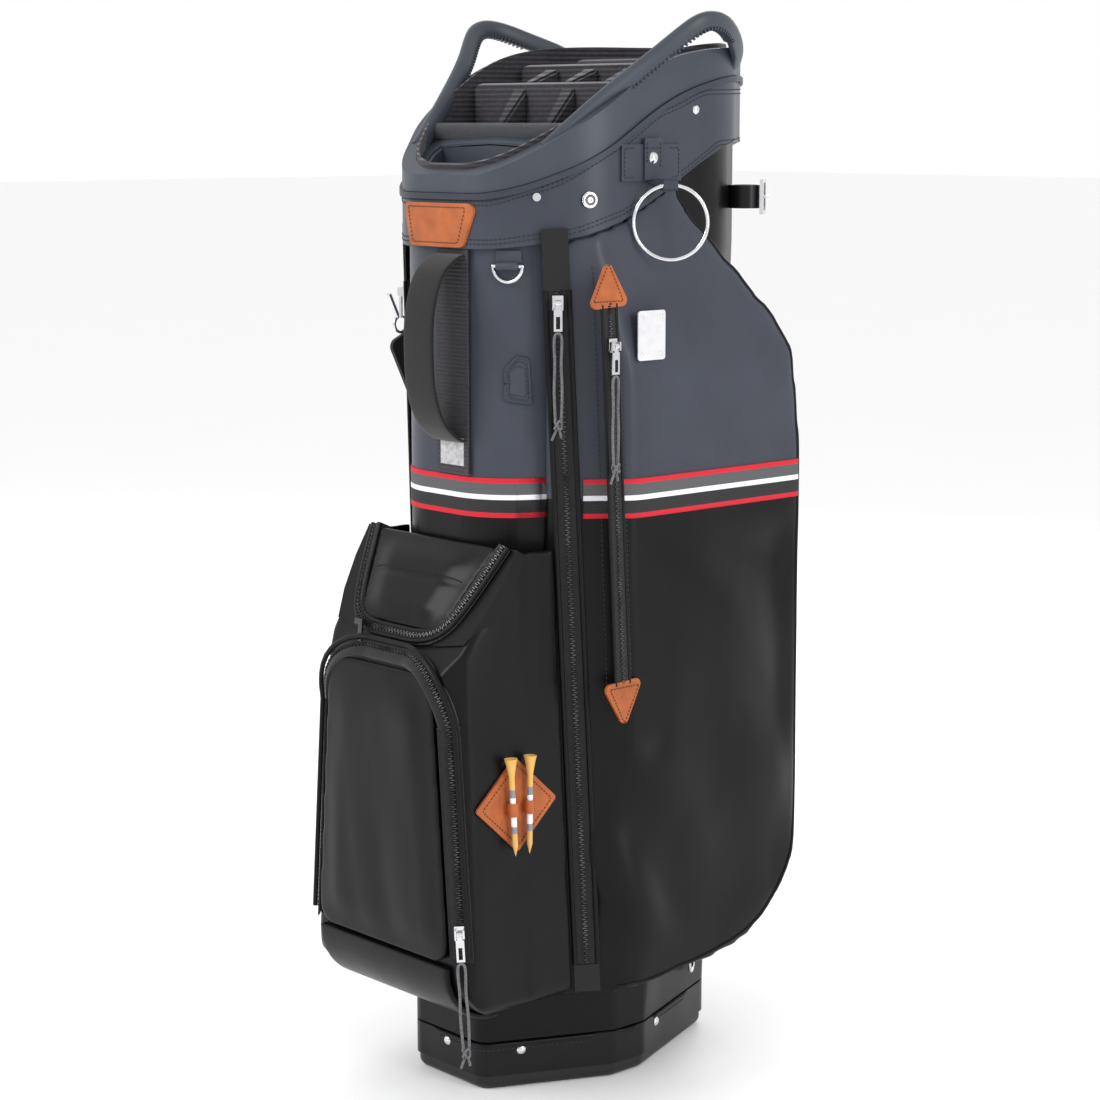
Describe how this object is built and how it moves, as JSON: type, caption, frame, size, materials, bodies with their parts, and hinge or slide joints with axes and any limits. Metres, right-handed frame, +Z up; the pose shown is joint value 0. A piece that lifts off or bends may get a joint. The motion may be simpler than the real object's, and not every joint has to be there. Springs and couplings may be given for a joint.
{
  "type": "golf staff bag",
  "caption": "Tall golf staff bag with sloping collar, two moulded carry handles, full-length club dividers, side pockets and a front pocket with a drop-down door.",
  "frame": {"origin": "middle of the base's underside, on the floor", "axes": "+Z up, -Y towards the front pocket, +X towards the side with the small zipped pocket and towel ring"},
  "size_m": [0.3083, 0.386, 0.9177],
  "materials": {
    "black_shell": "coated, satin",
    "grey_shell": "coated, satin",
    "moulded_grey": "fine grain",
    "black_plastic": "satin",
    "divider_fabric": "ribbed",
    "tan_leather": "waxed",
    "black_leather": "satin",
    "grey_leather": "satin",
    "webbing": "woven",
    "stripe": "woven in bands",
    "cord": "braided",
    "chrome": "polished",
    "bright_plate": "satin",
    "zip_tape": "woven",
    "tee_wood": "lacquered",
    "stay_rod": "drawn"
  },
  "bodies": {
    "bag": {"base_foot": "black_plastic", "base_band": "black_shell", "base_rivets": "chrome", "body_front_panel": "black_shell", "body_rear_panel": "black_shell", "body_right_panel": "black_shell", "body_left_panel": "black_shell", "frame_stays": "stay_rod", "divider_walls": "divider_fabric", "divider_partitions": "divider_fabric", "divider_pads": "divider_fabric", "collar_band": "grey_shell", "collar_piping": "grey_shell", "top_rim": "moulded_grey", "throat_liner": "divider_fabric", "top_handle_right": "moulded_grey", "top_handle_left": "moulded_grey", "putter_well": "moulded_grey", "right_pocket": "black_shell", "left_pocket": "black_shell", "zip_tapes": "zip_tape", "front_pocket_shell": "black_shell", "front_pocket_skirt": "black_shell", "lid_pocket_tray": "black_shell", "stripe_bands": "stripe", "leather_patch": "tan_leather", "webbing_strip": "webbing", "lift_handle": "webbing", "ring_tabs": "grey_leather", "towel_strap": "grey_leather", "collar_snaps": "chrome", "metal_plate": "bright_plate", "plate_rivets": "chrome", "tee_holder": "tan_leather", "umbrella_strap": "black_leather", "umbrella_buckle": "chrome", "umbrella_sleeve": "black_shell", "shoulder_strap": "webbing", "strap_hook": "chrome", "zip_end_caps": "tan_leather"},
    "front_door": {"front_pocket_door": "black_shell"},
    "lid": {"lid_flap": "black_shell"},
    "right_zip": {"right_zip_slider": "chrome"},
    "right_pull": {"right_zip_pull": "chrome", "right_zip_cord": "cord"},
    "valuables_zip": {"valuables_zip_slider": "chrome"},
    "valuables_pull": {"valuables_zip_pull": "chrome", "valuables_zip_cord": "cord"},
    "left_zip": {"left_zip_slider": "chrome"},
    "left_pull": {"left_zip_pull": "chrome"},
    "front_zip": {"front_zip_slider": "chrome"},
    "front_pull": {"front_zip_pull": "chrome", "front_zip_cord": "cord"},
    "lid_zip": {"lid_zip_slider": "chrome"},
    "towel_ring": {"towel_ring": "chrome"},
    "front_d_ring": {"front_d_ring": "chrome"},
    "base_d_ring": {"base_d_ring": "chrome"},
    "tee_front": {"tee_front": "tee_wood"},
    "tee_rear": {"tee_rear": "tee_wood"},
    "buckle_prong": {"buckle_prong": "chrome"}
  },
  "joints": [
    {"name": "door_hinge", "type": "hinge", "parent": "bag", "child": "front_door", "pos_m": [0, -0.208, 0.1385], "axis": [1, 0, 0], "range_deg": [0, 92]},
    {"name": "lid_hinge", "type": "hinge", "parent": "bag", "child": "lid", "pos_m": [0, -0.142, 0.482], "axis": [-1, 0, 0], "range_deg": [0, 75]},
    {"name": "right_zip_slide", "type": "slide", "parent": "bag", "child": "right_zip", "axis": [0.0191, 0.0412, -0.999], "range_m": [0, 0.5486]},
    {"name": "right_pull_hinge", "type": "hinge", "parent": "right_zip", "child": "right_pull", "pos_m": [0.10246, -0.09768, 0.68001], "axis": [-0.6219, -0.7831, 0], "range_deg": [0, 85]},
    {"name": "valuables_zip_slide", "type": "slide", "parent": "bag", "child": "valuables_zip", "axis": [0, 0.053, -0.9986], "range_m": [0, 0.2724]},
    {"name": "valuables_pull_hinge", "type": "hinge", "parent": "valuables_zip", "child": "valuables_pull", "pos_m": [0.143, -0.07115, 0.64605], "axis": [0, -1, 0], "range_deg": [0, 85]},
    {"name": "left_zip_slide", "type": "slide", "parent": "bag", "child": "left_zip", "axis": [-0.0191, 0.0412, -0.999], "range_m": [0, 0.5486]},
    {"name": "left_pull_hinge", "type": "hinge", "parent": "left_zip", "child": "left_pull", "pos_m": [-0.10246, -0.09768, 0.68001], "axis": [-0.6219, 0.7831, 0], "range_deg": [0, 85]},
    {"name": "front_zip_slide", "type": "slide", "parent": "bag", "child": "front_zip", "axis": [-0.0787, 0, 0.9969], "range_m": [0, 0.1605]},
    {"name": "front_pull_hinge", "type": "hinge", "parent": "front_zip", "child": "front_pull", "pos_m": [0.09995, -0.20397, 0.16846], "axis": [-0.6822, -0.7292, -0.0539], "range_deg": [0, 85]},
    {"name": "lid_zip_slide", "type": "slide", "parent": "bag", "child": "lid_zip", "axis": [1, 0, 0], "range_m": [0, 0.072]},
    {"name": "towel_ring_hinge", "type": "hinge", "parent": "bag", "child": "towel_ring", "pos_m": [0.13861, -0.00576, 0.7745], "axis": [-0.6691, -0.7431, 0], "range_deg": [0, 65]},
    {"name": "front_d_ring_hinge", "type": "hinge", "parent": "bag", "child": "front_d_ring", "pos_m": [0.06764, -0.12172, 0.7095], "axis": [-0.893, -0.45, 0], "range_deg": [0, 80]},
    {"name": "base_d_ring_hinge", "type": "hinge", "parent": "bag", "child": "base_d_ring", "pos_m": [0.07004, 0.09415, 0.077], "axis": [0.6, -0.8, 0], "range_deg": [0, 80]},
    {"name": "tee_front_slide", "type": "slide", "parent": "bag", "child": "tee_front", "axis": [-0.0415, -0.0261, 0.9988], "range_m": [0, 0.03]},
    {"name": "tee_rear_slide", "type": "slide", "parent": "bag", "child": "tee_rear", "axis": [-0.037, 0.0435, 0.9984], "range_m": [0, 0.03]},
    {"name": "buckle_prong_hinge", "type": "hinge", "parent": "bag", "child": "buckle_prong", "pos_m": [0.10645, 0.14343, 0.762], "axis": [0, 0, 1], "range_deg": [0, 60]}
  ]
}
